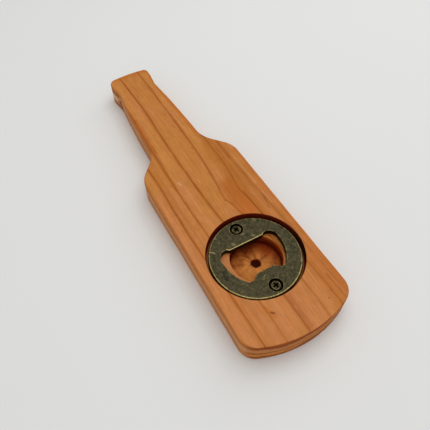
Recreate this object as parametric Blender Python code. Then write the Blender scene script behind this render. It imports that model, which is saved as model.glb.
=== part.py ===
"""Bottle-shaped wooden bottle opener: a sawn board, a round metal opener plate and its two wood screws.

Metres, +Z up. The origin is under the middle of the board, on the surface that it lies on.
+Y points to the lip of the bottle shape, and the opener plate is on the +Z face.
"""

import math

import bmesh
import bpy
from mathutils import Vector

# Board, whose outline is a beer bottle. Y positions are measured from the lowest point of its base.
BOARD_LENGTH = 0.1804
BOARD_THICKNESS = 0.0122
EDGE_ROUND = 0.0010
BASE_HALF_WIDTH = 0.02475
BASE_ARC_RADIUS = 0.0510
BASE_CORNER_RADIUS = 0.0080
SHOULDER_HALF_WIDTH = 0.02505
SHOULDER_Y = 0.0996
SHOULDER_RADIUS = 0.0117
NECK_ROOT_HALF_WIDTH = 0.01367
NECK_ROOT_Y = 0.1127
NECK_ROOT_RADIUS = 0.0162
NECK_SWELL = 0.0006
WAIST_HALF_WIDTH = 0.0109
WAIST_Y = 0.1645
WAIST_RADIUS = 0.0060
LIP_HALF_WIDTH = 0.0120
LIP_FULL_WIDTH_Y = 0.1735
LIP_FULL_WIDTH_RADIUS = 0.0100
LIP_ARC_RADIUS = 0.0780
LIP_ARC_CENTRE_X = 0.0035
LIP_CORNER_RADIUS_RIGHT = 0.0026
LIP_CORNER_RADIUS_LEFT = 0.0046

# Round opener plate, let into the board.
PLATE_Y = 0.03867
PLATE_RADIUS = 0.0200
PLATE_THICKNESS = 0.0025
PLATE_BELOW_FACE = 0.0016
PLATE_EDGE_BEVEL = 0.0004
RECESS_RADIUS = 0.02105
SEAT_GAP = 0.0003

# The plate's mouth: (x, y) of its right half, from the mouth's own centreline and the plate's centre.
MOUTH_OFF_CENTRE = 0.0002
MOUTH_LIP_Y = 0.00748
MOUTH_LIP_HALF_WIDTH = 0.0083
MOUTH_LIP_END_RADIUS = 0.0006
EAR_TOP_Y = 0.00835
EAR_INNER_X = 0.0093
EAR_INNER_RADIUS = 0.0010
EAR_OUTER_X = 0.0140
EAR_OUTER_RADIUS = 0.0039
MOUTH_SIDE_TOP = (0.01385, 0.0032)
MOUTH_SIDE_BOTTOM = (0.0094, -0.00875)
MOUTH_SIDE_SWELL = 0.00125
MOUTH_CORNER = (0.0090, -0.0095)
MOUTH_CORNER_RADIUS = 0.0007
TONGUE_FOOT = (0.00685, -0.0095)
TONGUE_FOOT_RADIUS = 0.0012
TONGUE_TIP = (0.00405, -0.0074)
TONGUE_TIP_RADIUS = 0.0015

# Pocket drilled under the mouth, and the mark of the drill's centre spur on its floor.
POCKET_X = 0.0009
POCKET_FROM_PLATE_Y = 0.0002
POCKET_RADIUS = 0.0115
POCKET_FLOOR_Z = 0.0031
SPUR_MOUTH_RADIUS = 0.0021
SPUR_TIP_RADIUS = 0.0005
SPUR_DEPTH = 0.0019

# Raised countersunk wood screws, and the holes that they go through.
SCREW_FROM_PLATE_Y = 0.01555
SCREW_HEAD_RADIUS = 0.0024
SCREW_HEAD_TOP = -0.0001
SCREW_DOME_HEIGHT = 0.0004
SCREW_RIM_HEIGHT = 0.0001
SCREW_SHANK_RADIUS = 0.00115
SCREW_TIP_LENGTH = 0.0016
SCREW_TIP_RADIUS = 0.0001
SCREW_TIP_Z = 0.0020
SCREW_TURN_UPPER = math.radians(25)
SCREW_TURN_LOWER = math.radians(10)
COUNTERBORE_RADIUS = 0.0029
COUNTERBORE_DEPTH = 0.0006
PLATE_HOLE_RADIUS = 0.0016
PILOT_HOLE_RADIUS = 0.00145
PILOT_HOLE_FLOOR_Z = 0.0016
CROSS_HALF_LENGTH = 0.00125
CROSS_HALF_LENGTH_AT_BOTTOM = 0.0004
CROSS_HALF_WIDTH = 0.00036
CROSS_HALF_WIDTH_AT_BOTTOM = 0.00022
CROSS_DEPTH = 0.0011

PLATE_TOP_Z = BOARD_THICKNESS - PLATE_BELOW_FACE
PLATE_BOTTOM_Z = PLATE_TOP_Z - PLATE_THICKNESS
RECESS_FLOOR_Z = PLATE_BOTTOM_Z - SEAT_GAP
ARC_STEP = math.radians(8)
CUT_PAST = 0.0020


def clear_scene():
    for obj in list(bpy.data.objects):
        bpy.data.objects.remove(obj, do_unlink=True)


def from_base(y):
    """A distance from the base's lowest point, as a Y of the part's frame."""
    return y - BOARD_LENGTH / 2


def arc(centre, radius, start, end):
    """Points along an arc, both ends included."""
    steps = max(2, math.ceil(abs(end - start) / ARC_STEP))
    angles = [start + (end - start) * k / steps for k in range(steps + 1)]
    return [Vector((centre[0] + radius * math.cos(a), centre[1] + radius * math.sin(a))) for a in angles]


def circle(radius, segments):
    """Points round a whole circle about the origin, anticlockwise, each once."""
    angles = [2 * math.pi * k / segments for k in range(segments)]
    return [Vector((radius * math.cos(a), radius * math.sin(a))) for a in angles]


def swollen(start, end, swell, steps=4):
    """Inner points of a shallow curve from start to end that stands out by swell halfway, to the right."""
    start, end = Vector(start), Vector(end)
    along = (end - start).normalized()
    outward = Vector((along.y, -along.x))
    shares = [k / steps for k in range(1, steps)]
    return [start.lerp(end, s) + outward * (4 * swell * s * (1 - s)) for s in shares]


def rounded(before, corner, after, radius):
    """The arc that rounds off a corner between its two neighbours on the outline."""
    before, corner, after = Vector(before), Vector(corner), Vector(after)
    back = (before - corner).normalized()
    ahead = (after - corner).normalized()
    half_angle = back.angle(ahead) / 2
    centre = corner + (back + ahead).normalized() * (radius / math.sin(half_angle))
    first = corner + back * (radius / math.tan(half_angle)) - centre
    last = corner + ahead * (radius / math.tan(half_angle)) - centre
    start = math.atan2(first.y, first.x)
    turn = math.remainder(math.atan2(last.y, last.x) - start, 2 * math.pi)
    return arc(centre, radius, start, start + turn)


def mirrored(points):
    """The same stretch of outline on the other side of the centreline, in running order."""
    return [Vector((-p.x, p.y)) for p in reversed(points)]


def bottle_side():
    """The right side of the bottle, from above the base's corner to below the lip's corner."""
    base = (BASE_HALF_WIDTH, from_base(BASE_CORNER_RADIUS))
    shoulder = (SHOULDER_HALF_WIDTH, from_base(SHOULDER_Y))
    neck_root = (NECK_ROOT_HALF_WIDTH, from_base(NECK_ROOT_Y))
    waist = (WAIST_HALF_WIDTH, from_base(WAIST_Y))
    lip = (LIP_HALF_WIDTH, from_base(LIP_FULL_WIDTH_Y))
    lip_end = (LIP_HALF_WIDTH, from_base(BOARD_LENGTH))
    neck = swollen(neck_root, waist, NECK_SWELL, steps=8)
    side = rounded(base, shoulder, neck_root, SHOULDER_RADIUS)
    side += rounded(shoulder, neck_root, neck[0], NECK_ROOT_RADIUS)
    side += neck[1:-1]
    side += rounded(neck[-2], waist, lip, WAIST_RADIUS)
    side += rounded(waist, lip, lip_end, LIP_FULL_WIDTH_RADIUS)
    return side


def base_end():
    """The bottle's base from its left corner to its right one: one wide arc and two corner arcs."""
    centre = Vector((0, from_base(BASE_ARC_RADIUS)))
    corner_x = BASE_HALF_WIDTH - BASE_CORNER_RADIUS
    reach = BASE_ARC_RADIUS - BASE_CORNER_RADIUS
    corner = centre + Vector((corner_x, -math.sqrt(reach**2 - corner_x**2)))
    tangent = math.atan2(corner.y - centre.y, corner.x - centre.x)
    half = arc(centre, BASE_ARC_RADIUS, -math.pi / 2, tangent)
    half += arc(corner, BASE_CORNER_RADIUS, tangent, 0)[1:]
    return mirrored(half[1:]) + half


def lip_end():
    """The lip's end from its right corner to its left one. Its crown is off centre, to the right."""
    centre = Vector((LIP_ARC_CENTRE_X, from_base(BOARD_LENGTH - LIP_ARC_RADIUS)))

    def corner(side, radius):
        x = side * (LIP_HALF_WIDTH - radius)
        rise = math.sqrt((LIP_ARC_RADIUS - radius) ** 2 - (x - centre.x) ** 2)
        return Vector((x, centre.y + rise))

    right = corner(1, LIP_CORNER_RADIUS_RIGHT)
    left = corner(-1, LIP_CORNER_RADIUS_LEFT)
    right_tangent = math.atan2(right.y - centre.y, right.x - centre.x)
    left_tangent = math.atan2(left.y - centre.y, left.x - centre.x)
    end = arc(right, LIP_CORNER_RADIUS_RIGHT, 0, right_tangent)
    end += arc(centre, LIP_ARC_RADIUS, right_tangent, math.pi / 2)[1:]
    end += arc(centre, LIP_ARC_RADIUS, math.pi / 2, left_tangent)[1:]
    end += arc(left, LIP_CORNER_RADIUS_LEFT, left_tangent, math.pi)[1:]
    return end


def mouth_outline():
    """The mouth: a straight lip with a round ear at each end, two bowed sides and a tongue."""
    lip_end_point = (MOUTH_LIP_HALF_WIDTH, MOUTH_LIP_Y)
    ear_inner = (EAR_INNER_X, EAR_TOP_Y)
    ear_outer = (EAR_OUTER_X, EAR_TOP_Y)
    side = swollen(MOUTH_SIDE_BOTTOM, MOUTH_SIDE_TOP, MOUTH_SIDE_SWELL, steps=6)
    right = rounded((0, TONGUE_TIP[1]), TONGUE_TIP, TONGUE_FOOT, TONGUE_TIP_RADIUS)
    right += rounded(TONGUE_TIP, TONGUE_FOOT, MOUTH_CORNER, TONGUE_FOOT_RADIUS)
    right += rounded(TONGUE_FOOT, MOUTH_CORNER, MOUTH_SIDE_BOTTOM, MOUTH_CORNER_RADIUS)
    right += side
    right += rounded(side[-1], ear_outer, ear_inner, EAR_OUTER_RADIUS)
    right += rounded(ear_outer, ear_inner, lip_end_point, EAR_INNER_RADIUS)
    right += rounded(ear_inner, lip_end_point, (0, MOUTH_LIP_Y), MOUTH_LIP_END_RADIUS)
    return [Vector((p.x + MOUTH_OFF_CENTRE, p.y)) for p in right + mirrored(right)]


def prism(name, outline, bottom, top):
    """A closed straight-sided solid on an outline that runs anticlockwise."""
    mesh = bpy.data.meshes.new(name)
    bm = bmesh.new()
    floor = [bm.verts.new((p.x, p.y, bottom)) for p in outline]
    face = bm.faces.new(floor)
    raised = bmesh.ops.extrude_face_region(bm, geom=[face])["geom"]
    lifted = [v for v in raised if isinstance(v, bmesh.types.BMVert)]
    bmesh.ops.translate(bm, verts=lifted, vec=(0, 0, top - bottom))
    bmesh.ops.recalc_face_normals(bm, faces=bm.faces)
    bm.to_mesh(mesh)
    bm.free()
    return add_object(name, mesh)


def turned(name, profile, segments=48):
    """A closed solid turned about Z from (radius, z) points, bottom to top, neither end on the axis."""
    mesh = bpy.data.meshes.new(name)
    bm = bmesh.new()
    rings = [[bm.verts.new((p.x, p.y, z)) for p in circle(radius, segments)] for radius, z in profile]
    for lower, upper in zip(rings, rings[1:]):
        for k in range(segments):
            following = (k + 1) % segments
            bm.faces.new((lower[k], lower[following], upper[following], upper[k]))
    bm.faces.new(reversed(rings[0]))
    bm.faces.new(rings[-1])
    bm.to_mesh(mesh)
    bm.free()
    return add_object(name, mesh)


def add_object(name, mesh):
    obj = bpy.data.objects.new(name, mesh)
    bpy.context.collection.objects.link(obj)
    return obj


def cut(target, cutter):
    """Takes the cutter out of the target, and keeps the cutter as a hidden wire helper."""
    cutter.hide_render = True
    cutter.display_type = "WIRE"
    modifier = target.modifiers.new(cutter.name, "BOOLEAN")
    modifier.operation = "DIFFERENCE"
    modifier.solver = "EXACT"
    modifier.object = cutter


def bevel(obj, width, segments):
    modifier = obj.modifiers.new("edge_round", "BEVEL")
    modifier.width = width
    modifier.segments = segments
    modifier.limit_method = "ANGLE"
    modifier.angle_limit = math.radians(50)


def finish(obj, material, parent):
    obj.data.materials.append(material)
    obj.data.shade_smooth()
    obj.data.set_sharp_from_angle(angle=math.radians(30))
    obj.parent = parent


def principled(name, color, roughness, metallic):
    material = bpy.data.materials.new(name)
    material.use_nodes = True
    shader = material.node_tree.nodes["Principled BSDF"]
    shader.inputs["Base Color"].default_value = (*color, 1)
    shader.inputs["Roughness"].default_value = roughness
    shader.inputs["Metallic"].default_value = metallic
    return material


def make_body():
    """The board: bottle outline, eased edges, plate recess, cap pocket, spur mark and pilot holes."""
    side = bottle_side()
    outline = base_end() + side + lip_end() + mirrored(side)
    body = prism("bottle_body", outline, 0, BOARD_THICKNESS)
    bevel(body, EDGE_ROUND, 3)
    plate_y = from_base(PLATE_Y)

    recess = turned(
        "recess_cutter",
        [(RECESS_RADIUS, RECESS_FLOOR_Z), (RECESS_RADIUS, BOARD_THICKNESS + CUT_PAST)],
        segments=96,
    )
    recess.location = (0, plate_y, 0)
    cut(body, recess)

    pocket = turned(
        "pocket_cutter",
        [(POCKET_RADIUS, POCKET_FLOOR_Z), (POCKET_RADIUS, RECESS_FLOOR_Z + CUT_PAST)],
        segments=72,
    )
    pocket.location = (POCKET_X, plate_y + POCKET_FROM_PLATE_Y, 0)
    cut(body, pocket)

    spur_slope = (SPUR_MOUTH_RADIUS - SPUR_TIP_RADIUS) / SPUR_DEPTH
    spur = turned(
        "spur_cutter",
        [
            (SPUR_TIP_RADIUS, POCKET_FLOOR_Z - SPUR_DEPTH),
            (SPUR_MOUTH_RADIUS + spur_slope * SEAT_GAP, POCKET_FLOOR_Z + SEAT_GAP),
        ],
        segments=24,
    )
    spur.location = pocket.location
    cut(body, spur)

    for name, way in (("pilot_upper_cutter", 1), ("pilot_lower_cutter", -1)):
        pilot = turned(
            name,
            [(PILOT_HOLE_RADIUS, PILOT_HOLE_FLOOR_Z), (PILOT_HOLE_RADIUS, RECESS_FLOOR_Z + CUT_PAST)],
            segments=24,
        )
        pilot.location = (0, plate_y + way * SCREW_FROM_PLATE_Y, 0)
        cut(body, pilot)
    return body


def make_plate():
    """The opener plate: a bevelled disc with its mouth and two counterbored, countersunk holes."""
    plate = prism("opener_plate", circle(PLATE_RADIUS, 96), 0, PLATE_THICKNESS)
    plate.location = (0, from_base(PLATE_Y), PLATE_BOTTOM_Z)

    mouth = prism("mouth_cutter", mouth_outline(), -CUT_PAST, PLATE_THICKNESS + CUT_PAST)
    mouth.parent = plate
    cut(plate, mouth)
    bevel(plate, PLATE_EDGE_BEVEL, 2)

    cone_depth = COUNTERBORE_DEPTH + COUNTERBORE_RADIUS - PLATE_HOLE_RADIUS
    hole_profile = [
        (PLATE_HOLE_RADIUS, -CUT_PAST),
        (PLATE_HOLE_RADIUS, PLATE_THICKNESS - cone_depth),
        (COUNTERBORE_RADIUS, PLATE_THICKNESS - COUNTERBORE_DEPTH),
        (COUNTERBORE_RADIUS, PLATE_THICKNESS + CUT_PAST),
    ]
    for name, way in (("hole_upper_cutter", 1), ("hole_lower_cutter", -1)):
        hole = turned(name, hole_profile, segments=32)
        hole.location = (0, way * SCREW_FROM_PLATE_Y, 0)
        hole.parent = plate
        cut(plate, hole)
    return plate


def make_screw(name, way, turn):
    """One wood screw, with its origin on its axis at the plate's top face. Its shank is plain."""
    head_edge = SCREW_HEAD_TOP - SCREW_DOME_HEIGHT
    head_bottom = head_edge - SCREW_RIM_HEIGHT - (SCREW_HEAD_RADIUS - SCREW_SHANK_RADIUS)
    tip = SCREW_TIP_Z - PLATE_TOP_Z
    profile = [
        (SCREW_TIP_RADIUS, tip),
        (SCREW_SHANK_RADIUS, tip + SCREW_TIP_LENGTH),
        (SCREW_SHANK_RADIUS, head_bottom),
        (SCREW_HEAD_RADIUS, head_edge - SCREW_RIM_HEIGHT),
    ]
    for share in (1, 0.8, 0.55, 0.25):
        profile.append((SCREW_HEAD_RADIUS * share, SCREW_HEAD_TOP - SCREW_DOME_HEIGHT * share**2))
    screw = turned(name, profile, segments=32)
    screw.location = (0, from_base(PLATE_Y) + way * SCREW_FROM_PLATE_Y, PLATE_TOP_Z)
    for wing in range(2):
        slot = cross_wing(f"{name}_wing_{wing}_cutter")
        slot.rotation_euler.z = turn + wing * math.pi / 2
        slot.parent = screw
        cut(screw, slot)
    return screw


def cross_wing(name):
    """One wing of the cross recess: a bar that narrows downwards."""
    mesh = bpy.data.meshes.new(name)
    bm = bmesh.new()
    bmesh.ops.create_cube(bm, size=1)
    for vert in bm.verts:
        top = vert.co.z > 0
        half_length = CROSS_HALF_LENGTH if top else CROSS_HALF_LENGTH_AT_BOTTOM
        half_width = CROSS_HALF_WIDTH if top else CROSS_HALF_WIDTH_AT_BOTTOM
        vert.co.x = math.copysign(half_length, vert.co.x)
        vert.co.y = math.copysign(half_width, vert.co.y)
        vert.co.z = CROSS_DEPTH * 0.1 if top else -CROSS_DEPTH
    bm.to_mesh(mesh)
    bm.free()
    return add_object(name, mesh)


def main():
    clear_scene()
    assembly = bpy.data.objects.new("opener_assembly", None)
    bpy.context.collection.objects.link(assembly)
    wood = principled("oiled_softwood", (0.50, 0.20, 0.065), 0.60, 0.0)
    antique_brass = principled("antique_brass", (0.20, 0.18, 0.10), 0.45, 1.0)
    screw_brass = principled("blackened_brass", (0.12, 0.10, 0.05), 0.50, 1.0)
    finish(make_body(), wood, assembly)
    finish(make_plate(), antique_brass, assembly)
    finish(make_screw("plate_screw_upper", 1, SCREW_TURN_UPPER), screw_brass, assembly)
    finish(make_screw("plate_screw_lower", -1, SCREW_TURN_LOWER), screw_brass, assembly)


main()
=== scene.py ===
"""Looks of the bottle-shaped wooden opener: an oiled softwood board, an antique brass plate and two screws.

Metres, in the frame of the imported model: +Y points to the lip of the bottle shape, +Z is the plate's side.
"""

import math

import bmesh
import bpy
from mathutils import Matrix, Vector, noise


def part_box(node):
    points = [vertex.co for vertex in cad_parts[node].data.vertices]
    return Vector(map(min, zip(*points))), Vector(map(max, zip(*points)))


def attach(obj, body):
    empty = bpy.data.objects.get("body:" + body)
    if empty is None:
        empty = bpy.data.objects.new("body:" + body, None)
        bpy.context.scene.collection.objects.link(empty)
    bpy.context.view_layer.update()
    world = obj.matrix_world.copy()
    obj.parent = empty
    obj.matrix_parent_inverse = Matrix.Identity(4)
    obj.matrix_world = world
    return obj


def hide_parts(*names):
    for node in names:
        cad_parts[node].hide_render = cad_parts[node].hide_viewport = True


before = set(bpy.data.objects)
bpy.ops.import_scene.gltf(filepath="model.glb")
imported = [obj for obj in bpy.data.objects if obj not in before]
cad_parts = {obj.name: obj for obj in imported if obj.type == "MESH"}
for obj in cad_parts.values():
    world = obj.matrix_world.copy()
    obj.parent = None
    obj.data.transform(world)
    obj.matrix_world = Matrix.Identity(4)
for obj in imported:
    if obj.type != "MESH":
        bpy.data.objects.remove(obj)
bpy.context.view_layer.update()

MM = 0.001
ARC_STEP = math.radians(4)
LONGEST_SIDE = 2.0 * MM
LONGEST_MOUTH_SIDE = 0.8 * MM
FACE_MARGIN = 0.4 * MM

# What the frame gives: the board's box, the plate's disc and the screws' axes.
BOARD_LOW, BOARD_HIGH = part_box("bottle_body")
PLATE_LOW, PLATE_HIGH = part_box("opener_plate")
BOARD_TOP = BOARD_HIGH.z
BASE_Y = BOARD_LOW.y
LIP_Y = BOARD_HIGH.y
PLATE_CENTRE = Vector(((PLATE_LOW.x + PLATE_HIGH.x) / 2, (PLATE_LOW.y + PLATE_HIGH.y) / 2))
PLATE_RADIUS = (PLATE_HIGH.x - PLATE_LOW.x) / 2
PLATE_TOP = PLATE_HIGH.z
PLATE_BOTTOM = PLATE_LOW.z

# Board outline, as in the CAD model. Heights along the bottle are measured from its base.
BASE_HALF_WIDTH = 24.75 * MM
BASE_ARC_RADIUS = 51.0 * MM
BASE_CORNER_RADIUS = 8.0 * MM
SHOULDER = (25.05 * MM, 99.6 * MM, 11.7 * MM)
NECK_ROOT = (13.67 * MM, 112.7 * MM, 16.2 * MM)
NECK_SWELL = 0.6 * MM
WAIST = (10.9 * MM, 164.5 * MM, 6.0 * MM)
LIP = (12.0 * MM, 173.5 * MM, 10.0 * MM)
LIP_ARC_RADIUS = 78.0 * MM
LIP_ARC_CENTRE_X = 3.5 * MM
LIP_CORNER_RIGHT = 2.6 * MM
LIP_CORNER_LEFT = 4.6 * MM
EDGE_ROUND = 1.0 * MM
EDGE_ROUND_AT_BASE = 0.5
EDGE_ROUND_VARIES = 0.2
HAND_WAVER = 0.08 * MM
WAVER_SCALE = 90

# Holes in the board.
SEAT_GAP = 0.3 * MM
RECESS_RADIUS = 21.05 * MM
RECESS_FLOOR = PLATE_BOTTOM - SEAT_GAP
POCKET_CENTRE = PLATE_CENTRE + Vector((0.9, 0.2)) * MM
POCKET_RADIUS = 11.5 * MM
POCKET_FLOOR = 3.1 * MM
SPUR_RADIUS = 2.1 * MM
SPUR_DEPTH = 1.9 * MM
CUTTER_RIDGE = 0.03 * MM
CUTTER_RIDGE_PITCH = 0.42 * MM
# Where the pocket's painted shade is darkest.
MOST_SHADED_TOWARD = math.radians(50)
TORN_TOWARD = math.radians(140)
TORN_BY = 0.18
PILOT_RADIUS = 1.45 * MM
PILOT_FLOOR = 1.6 * MM
RECESS_SEGMENTS = 180
POCKET_SEGMENTS = 144
PILOT_SEGMENTS = 32

# Mouth of the plate: its right half, from its own centreline and the plate's centre.
# Corners are (x, y, radius).
MOUTH_OFF_CENTRE = 0.2 * MM
MOUTH_LIP = (8.3 * MM, 7.48 * MM, 0.6 * MM)
EAR_INNER = (9.3 * MM, 8.35 * MM, 1.0 * MM)
EAR_OUTER = (14.0 * MM, 8.35 * MM, 3.9 * MM)
MOUTH_SIDE_TOP = (13.85 * MM, 3.2 * MM)
MOUTH_SIDE_BOTTOM = (9.4 * MM, -8.75 * MM)
MOUTH_SIDE_SWELL = 1.25 * MM
MOUTH_CORNER = (9.0 * MM, -9.5 * MM, 0.7 * MM)
TONGUE_FOOT = (6.85 * MM, -9.5 * MM, 1.2 * MM)
TONGUE_TIP = (4.05 * MM, -7.4 * MM, 1.5 * MM)
PLATE_RIM_ROUND = 0.6 * MM
MOUTH_EDGE_ROUND = 0.3 * MM
COUNTERBORE = (2.9 * MM, 0.6 * MM)
PLATE_HOLE_RADIUS = 1.6 * MM
PLATE_UNDER_ROUND = 0.12 * MM
PLATE_SEGMENTS = 192
PLATE_HOLE_SEGMENTS = 64

# Screws.
SHANK_RADIUS = 0.85 * MM
THREAD_RADIUS = 1.15 * MM
THREAD_PITCH = 0.95 * MM
THREAD_STEPS = 8
POINT_LENGTH = 1.7 * MM
THREAD_FADE = 0.6 * MM
DOME_HEIGHT = 0.4 * MM
HEAD_RIM = 0.1 * MM
HEAD_BRIGHT_RADIUS = 1.85 * MM
CROSS_HALF_LENGTH = 1.25 * MM
CROSS_HALF_WIDTH = 0.46 * MM
CROSS_DEPTH = 1.1 * MM
SCREW_TURNS = {"plate_screw_upper": math.radians(25), "plate_screw_lower": math.radians(10)}

# Camera: its lens and sensor width in mm, where it stands and the way that it looks.
CAMERA_PLACE = Vector((-58.8, -125.8, 166.4)) * MM
CAMERA_FORWARD = Vector((0.281, 0.523, -0.805))
CAMERA_RIGHT = Vector((0.874, -0.486, -0.011))
CAMERA_LENS = 36.0
CAMERA_SENSOR = 36.0

# Studio: the floor's half width, how far it lies under the board, and (place, size, power) of each light.
FLOOR_HALF_WIDTH = 3.0
FLOOR_BELOW = 0.02 * MM
FLOOR_COLOR = (0.80, 0.80, 0.785, 1)
WORLD_COLOR = (1.0, 1.0, 0.99, 1)
WORLD_STRENGTH = 0.44
LIGHTS = {
    "overhead": ((0.12, 0.05, 0.75), 0.9, 2.7),
    "window_side": ((0.60, 0.25, 0.50), 0.7, 1.15),
    "room_side": ((-0.45, -0.55, 0.45), 0.8, 0.7),
}


def arc(centre, radius, start, end):
    """Points along an arc, both ends included."""
    steps = max(2, math.ceil(abs(end - start) / ARC_STEP))
    angles = [start + (end - start) * k / steps for k in range(steps + 1)]
    return [Vector((centre[0] + radius * math.cos(a), centre[1] + radius * math.sin(a))) for a in angles]


def circle(centre, radius, count):
    angles = [2 * math.pi * k / count for k in range(count)]
    return [Vector((centre[0] + radius * math.cos(a), centre[1] + radius * math.sin(a))) for a in angles]


def bowed(start, end, swell, steps):
    """Inner points of a shallow curve that stands out to the right of start to end by swell halfway."""
    start, end = Vector(start), Vector(end)
    along = (end - start).normalized()
    outward = Vector((along.y, -along.x))
    shares = [k / steps for k in range(1, steps)]
    return [start.lerp(end, s) + outward * (4 * swell * s * (1 - s)) for s in shares]


def rounded(before, corner, after):
    """The arc that rounds off corner (x, y, radius) between its two neighbours on the outline."""
    radius = corner[2]
    before, corner, after = Vector(before[:2]), Vector(corner[:2]), Vector(after[:2])
    back = (before - corner).normalized()
    ahead = (after - corner).normalized()
    half_angle = back.angle(ahead) / 2
    centre = corner + (back + ahead).normalized() * (radius / math.sin(half_angle))
    first = corner + back * (radius / math.tan(half_angle)) - centre
    last = corner + ahead * (radius / math.tan(half_angle)) - centre
    start = math.atan2(first.y, first.x)
    turn = math.remainder(math.atan2(last.y, last.x) - start, 2 * math.pi)
    return arc(centre, radius, start, start + turn)


def mirrored(points):
    """The same stretch of outline on the other side of the centreline, in running order."""
    return [Vector((-p.x, p.y)) for p in reversed(points)]


def filled_in(loop, longest):
    """The closed loop with points added wherever two of its points are further apart than longest."""
    made = []
    for here, following in zip(loop, loop[1:] + loop[:1]):
        steps = max(1, math.ceil((following - here).length / longest))
        made += [here.lerp(following, k / steps) for k in range(steps)]
    return made


def inward(loop):
    """The unit vector at each point of an anticlockwise loop that points into it."""
    made = []
    for k in range(len(loop)):
        along = loop[(k + 1) % len(loop)] - loop[k - 1]
        made.append(Vector((-along.y, along.x)).normalized())
    return made


def moved_in(loop, distance, shares=None):
    """The loop moved into itself by distance, times each point's share."""
    shares = shares or [1.0] * len(loop)
    return [p + n * (distance * s) for p, n, s in zip(loop, inward(loop), shares)]


def quarter(radius, steps):
    """(inset, drop) along a quarter round, from the wall (no inset) to the face (no drop)."""
    angles = [math.pi / 2 * k / steps for k in range(steps + 1)]
    return [(radius * (1 - math.cos(a)), radius * (1 - math.sin(a))) for a in angles]


def board_outline():
    """The bottle shape, anticlockwise from the base's middle."""
    base = (BASE_HALF_WIDTH, BASE_CORNER_RADIUS)
    lip_end = (LIP[0], LIP_Y - BASE_Y)
    neck = bowed(NECK_ROOT[:2], WAIST[:2], NECK_SWELL, 12)
    side = rounded(base, SHOULDER, NECK_ROOT)
    side += rounded(SHOULDER, NECK_ROOT, neck[0])
    side += neck[1:-1]
    side += rounded(neck[-2], WAIST, LIP)
    side += rounded(WAIST, LIP, lip_end)
    outline = base_arcs() + side + lip_arcs(LIP_Y - BASE_Y) + mirrored(side)
    return [Vector((p.x, p.y + BASE_Y)) for p in outline]


def base_arcs():
    centre = Vector((0, BASE_ARC_RADIUS))
    corner_x = BASE_HALF_WIDTH - BASE_CORNER_RADIUS
    reach = BASE_ARC_RADIUS - BASE_CORNER_RADIUS
    corner = centre + Vector((corner_x, -math.sqrt(reach**2 - corner_x**2)))
    tangent = math.atan2(corner.y - centre.y, corner.x - centre.x)
    half = arc(centre, BASE_ARC_RADIUS, -math.pi / 2, tangent)
    half += arc(corner, BASE_CORNER_RADIUS, tangent, 0)[1:]
    return mirrored(half[1:]) + half


def lip_arcs(length):
    centre = Vector((LIP_ARC_CENTRE_X, length - LIP_ARC_RADIUS))

    def corner(side, radius):
        x = side * (LIP[0] - radius)
        return Vector((x, centre.y + math.sqrt((LIP_ARC_RADIUS - radius) ** 2 - (x - centre.x) ** 2)))

    right = corner(1, LIP_CORNER_RIGHT)
    left = corner(-1, LIP_CORNER_LEFT)
    right_tangent = math.atan2(right.y - centre.y, right.x - centre.x)
    left_tangent = math.atan2(left.y - centre.y, left.x - centre.x)
    end = arc(right, LIP_CORNER_RIGHT, 0, right_tangent)
    end += arc(centre, LIP_ARC_RADIUS, right_tangent, left_tangent)[1:]
    end += arc(left, LIP_CORNER_LEFT, left_tangent, math.pi)[1:]
    return end


def mouth_outline():
    """The plate's mouth, anticlockwise: tongue, bowed side, ear, straight lip and the same mirrored."""
    side = bowed(MOUTH_SIDE_BOTTOM, MOUTH_SIDE_TOP, MOUTH_SIDE_SWELL, 14)
    right = rounded((0, TONGUE_TIP[1]), TONGUE_TIP, TONGUE_FOOT)
    right += rounded(TONGUE_TIP, TONGUE_FOOT, MOUTH_CORNER)
    right += rounded(TONGUE_FOOT, MOUTH_CORNER, MOUTH_SIDE_BOTTOM)
    right += side
    right += rounded(side[-1], EAR_OUTER, EAR_INNER)
    right += rounded(EAR_OUTER, EAR_INNER, MOUTH_LIP)
    right += rounded(EAR_INNER, MOUTH_LIP, (0, MOUTH_LIP[1]))
    centre = PLATE_CENTRE + Vector((MOUTH_OFF_CENTRE, 0))
    return [p + centre for p in filled_in(right + mirrored(right), LONGEST_MOUTH_SIDE)]


class Shell:
    """A mesh built up from rings of points. Each point carries a value for rubbing, grime and painted light:
    1 is bright brass, with a painted highlight on some edges; -1 is grime on the brass and painted shade in
    holes and on walls.
    """

    def __init__(self):
        self.bm = bmesh.new()
        self.wear_and_shading = self.bm.verts.layers.float.new("wear_and_shading")

    def ring(self, points, z, wear_and_shading=0.0):
        made = []
        for k, p in enumerate(points):
            height = z[k] if isinstance(z, list) else z
            vert = self.bm.verts.new((p.x, p.y, height))
            vert[self.wear_and_shading] = wear_and_shading[k] if isinstance(wear_and_shading, list) else wear_and_shading
            made.append(vert)
        return made

    def sleeve(self, rings):
        """Quads between each ring and the next."""
        for lower, upper in zip(rings, rings[1:]):
            count = len(lower)
            for k in range(count):
                ahead = (k + 1) % count
                self.bm.faces.new((lower[k], lower[ahead], upper[ahead], upper[k]))

    def web(self, *loops):
        """A flat face inside the first loop and outside the others."""
        edges = []
        for loop in loops:
            for a, b in zip(loop, loop[1:] + loop[:1]):
                edges.append(self.bm.edges.get((a, b)) or self.bm.edges.new((a, b)))
        bmesh.ops.triangle_fill(self.bm, edges=edges, use_beauty=True, use_dissolve=False)

    def point(self, ring, place, wear_and_shading=0.0):
        """A fan of triangles from the ring to one point."""
        tip = self.bm.verts.new(place)
        tip[self.wear_and_shading] = wear_and_shading
        for a, b in zip(ring, ring[1:] + ring[:1]):
            self.bm.faces.new((a, b, tip))

    def finish(self, name, materials, sharp_angle):
        bmesh.ops.recalc_face_normals(self.bm, faces=self.bm.faces)
        mesh = bpy.data.meshes.new(name)
        self.bm.to_mesh(mesh)
        self.bm.free()
        mesh.shade_smooth()
        mesh.set_sharp_from_angle(angle=math.radians(sharp_angle))
        for material in materials:
            mesh.materials.append(material)
        obj = bpy.data.objects.new(name, mesh)
        bpy.context.scene.collection.objects.link(obj)
        return obj


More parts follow.
